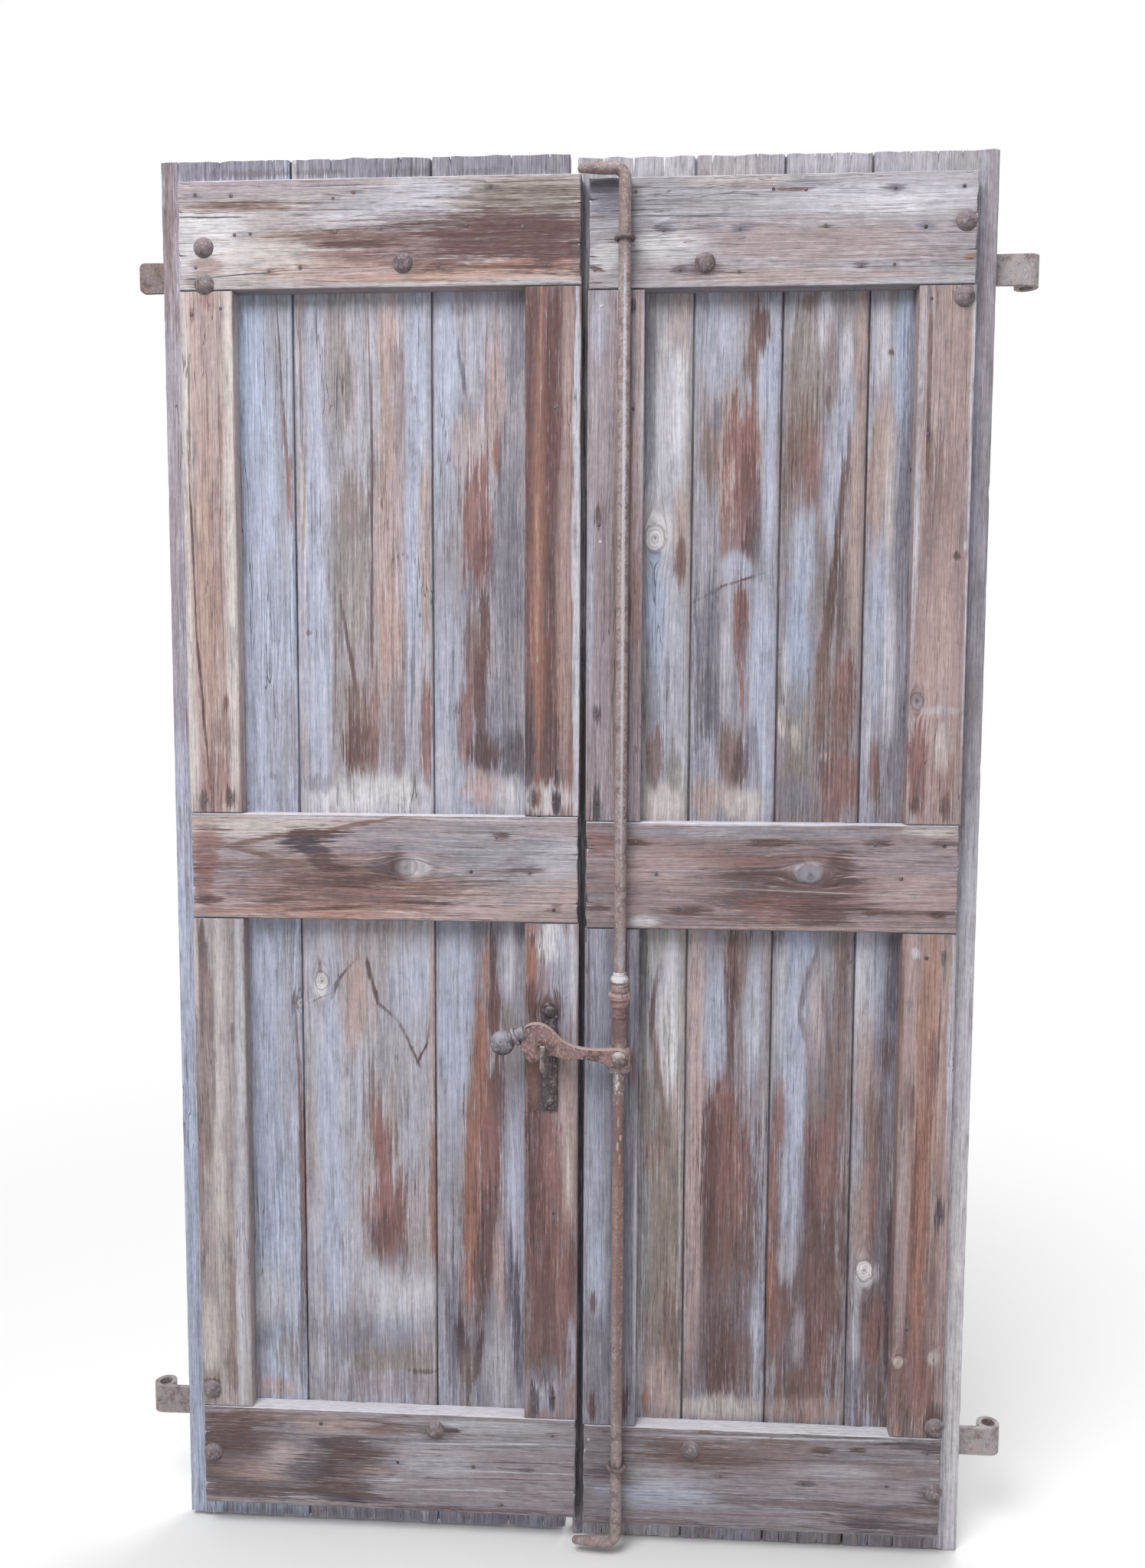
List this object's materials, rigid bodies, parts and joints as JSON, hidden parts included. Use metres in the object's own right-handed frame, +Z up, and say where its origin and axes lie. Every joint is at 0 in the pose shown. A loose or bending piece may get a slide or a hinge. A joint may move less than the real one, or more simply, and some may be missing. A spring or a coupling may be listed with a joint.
{
  "type": "antique wooden shutter",
  "caption": "Old boarded wooden window shutter, a pair of leaves with strap hinges, shut by a turning rod bolt with a hand lever and a catch hook.",
  "frame": {"origin": "under the middle of the pair at its foot, in the plane where the boards and the framework meet", "axes": "+X to the right as seen from indoors, +Y outdoors, +Z up"},
  "size_m": [1.227, 0.1256, 1.908],
  "materials": {
    "left_board": "weathered bare softwood, blue-grey with red-brown streaks",
    "right_board": "weathered bare softwood, pale grey with red-brown streaks",
    "left_rail": "weathered bare softwood, brown-grey, strong grain",
    "right_rail": "weathered bare softwood, pale grey, strong grain",
    "left_stile": "weathered bare softwood, tan and red-brown",
    "right_stile": "weathered bare softwood, pale blue-grey",
    "hinge_iron": "old wrought iron, rusted brown with grey patches",
    "bolt_iron": "rusted iron, rubbed paler on the heads",
    "rod_iron": "rusted round bar, pinkish brown with pale grey rubbing",
    "handle_iron": "rusted cast iron, brown-pink with a pale upper rim",
    "knob_iron": "hand-worn grey iron",
    "catch_iron": "rusted iron, greenish grey, pale at its edges"
  },
  "bodies": {
    "left_leaf": {"catch_hook": "catch_iron", "catch_nails": "catch_iron", "catch_plate": "catch_iron", "left_board_1": "left_board", "left_board_2": "left_board", "left_board_3": "left_board", "left_bottom_rail": "left_rail", "left_lower_bolts": "bolt_iron", "left_lower_meeting_stile": "left_stile", "left_lower_nuts": "bolt_iron", "left_lower_outer_stile": "left_stile", "left_lower_strap": "hinge_iron", "left_middle_rail": "left_rail", "left_top_rail": "left_rail", "left_upper_bolts": "bolt_iron", "left_upper_meeting_stile": "left_stile", "left_upper_nuts": "bolt_iron", "left_upper_outer_stile": "left_stile", "left_upper_strap": "hinge_iron"},
    "right_leaf": {"lower_guide": "hinge_iron", "right_board_1": "right_board", "right_board_2": "right_board", "right_board_3": "right_board", "right_board_4": "right_board", "right_bottom_rail": "right_rail", "right_lower_bolts": "bolt_iron", "right_lower_meeting_stile": "right_stile", "right_lower_nuts": "bolt_iron", "right_lower_outer_stile": "right_stile", "right_lower_strap": "hinge_iron", "right_middle_rail": "right_rail", "right_top_rail": "right_rail", "right_upper_bolts": "bolt_iron", "right_upper_meeting_stile": "right_stile", "right_upper_nuts": "bolt_iron", "right_upper_outer_stile": "right_stile", "right_upper_strap": "hinge_iron", "upper_guide": "hinge_iron"},
    "rod": {"hub_pin": "handle_iron", "rod": "rod_iron", "rod_ornament": "rod_iron"},
    "handle": {"handle_knob": "knob_iron", "handle_lever": "handle_iron"}
  },
  "joints": [
    {"name": "right_leaf_swing", "type": "hinge", "parent": "left_leaf", "child": "right_leaf", "pos_m": [0.598, 0.0375, 0.95], "axis": [0, 0, -1], "range_deg": [0, 175]},
    {"name": "rod_turn", "type": "hinge", "parent": "right_leaf", "child": "rod", "pos_m": [0.071, -0.0412, 0.716], "axis": [0, 0, 1], "range_deg": [0, 95]},
    {"name": "handle_lift", "type": "hinge", "parent": "rod", "child": "handle", "pos_m": [0.071, -0.056, 0.716], "axis": [0, 1, 0], "range_deg": [0, 45]}
  ]
}
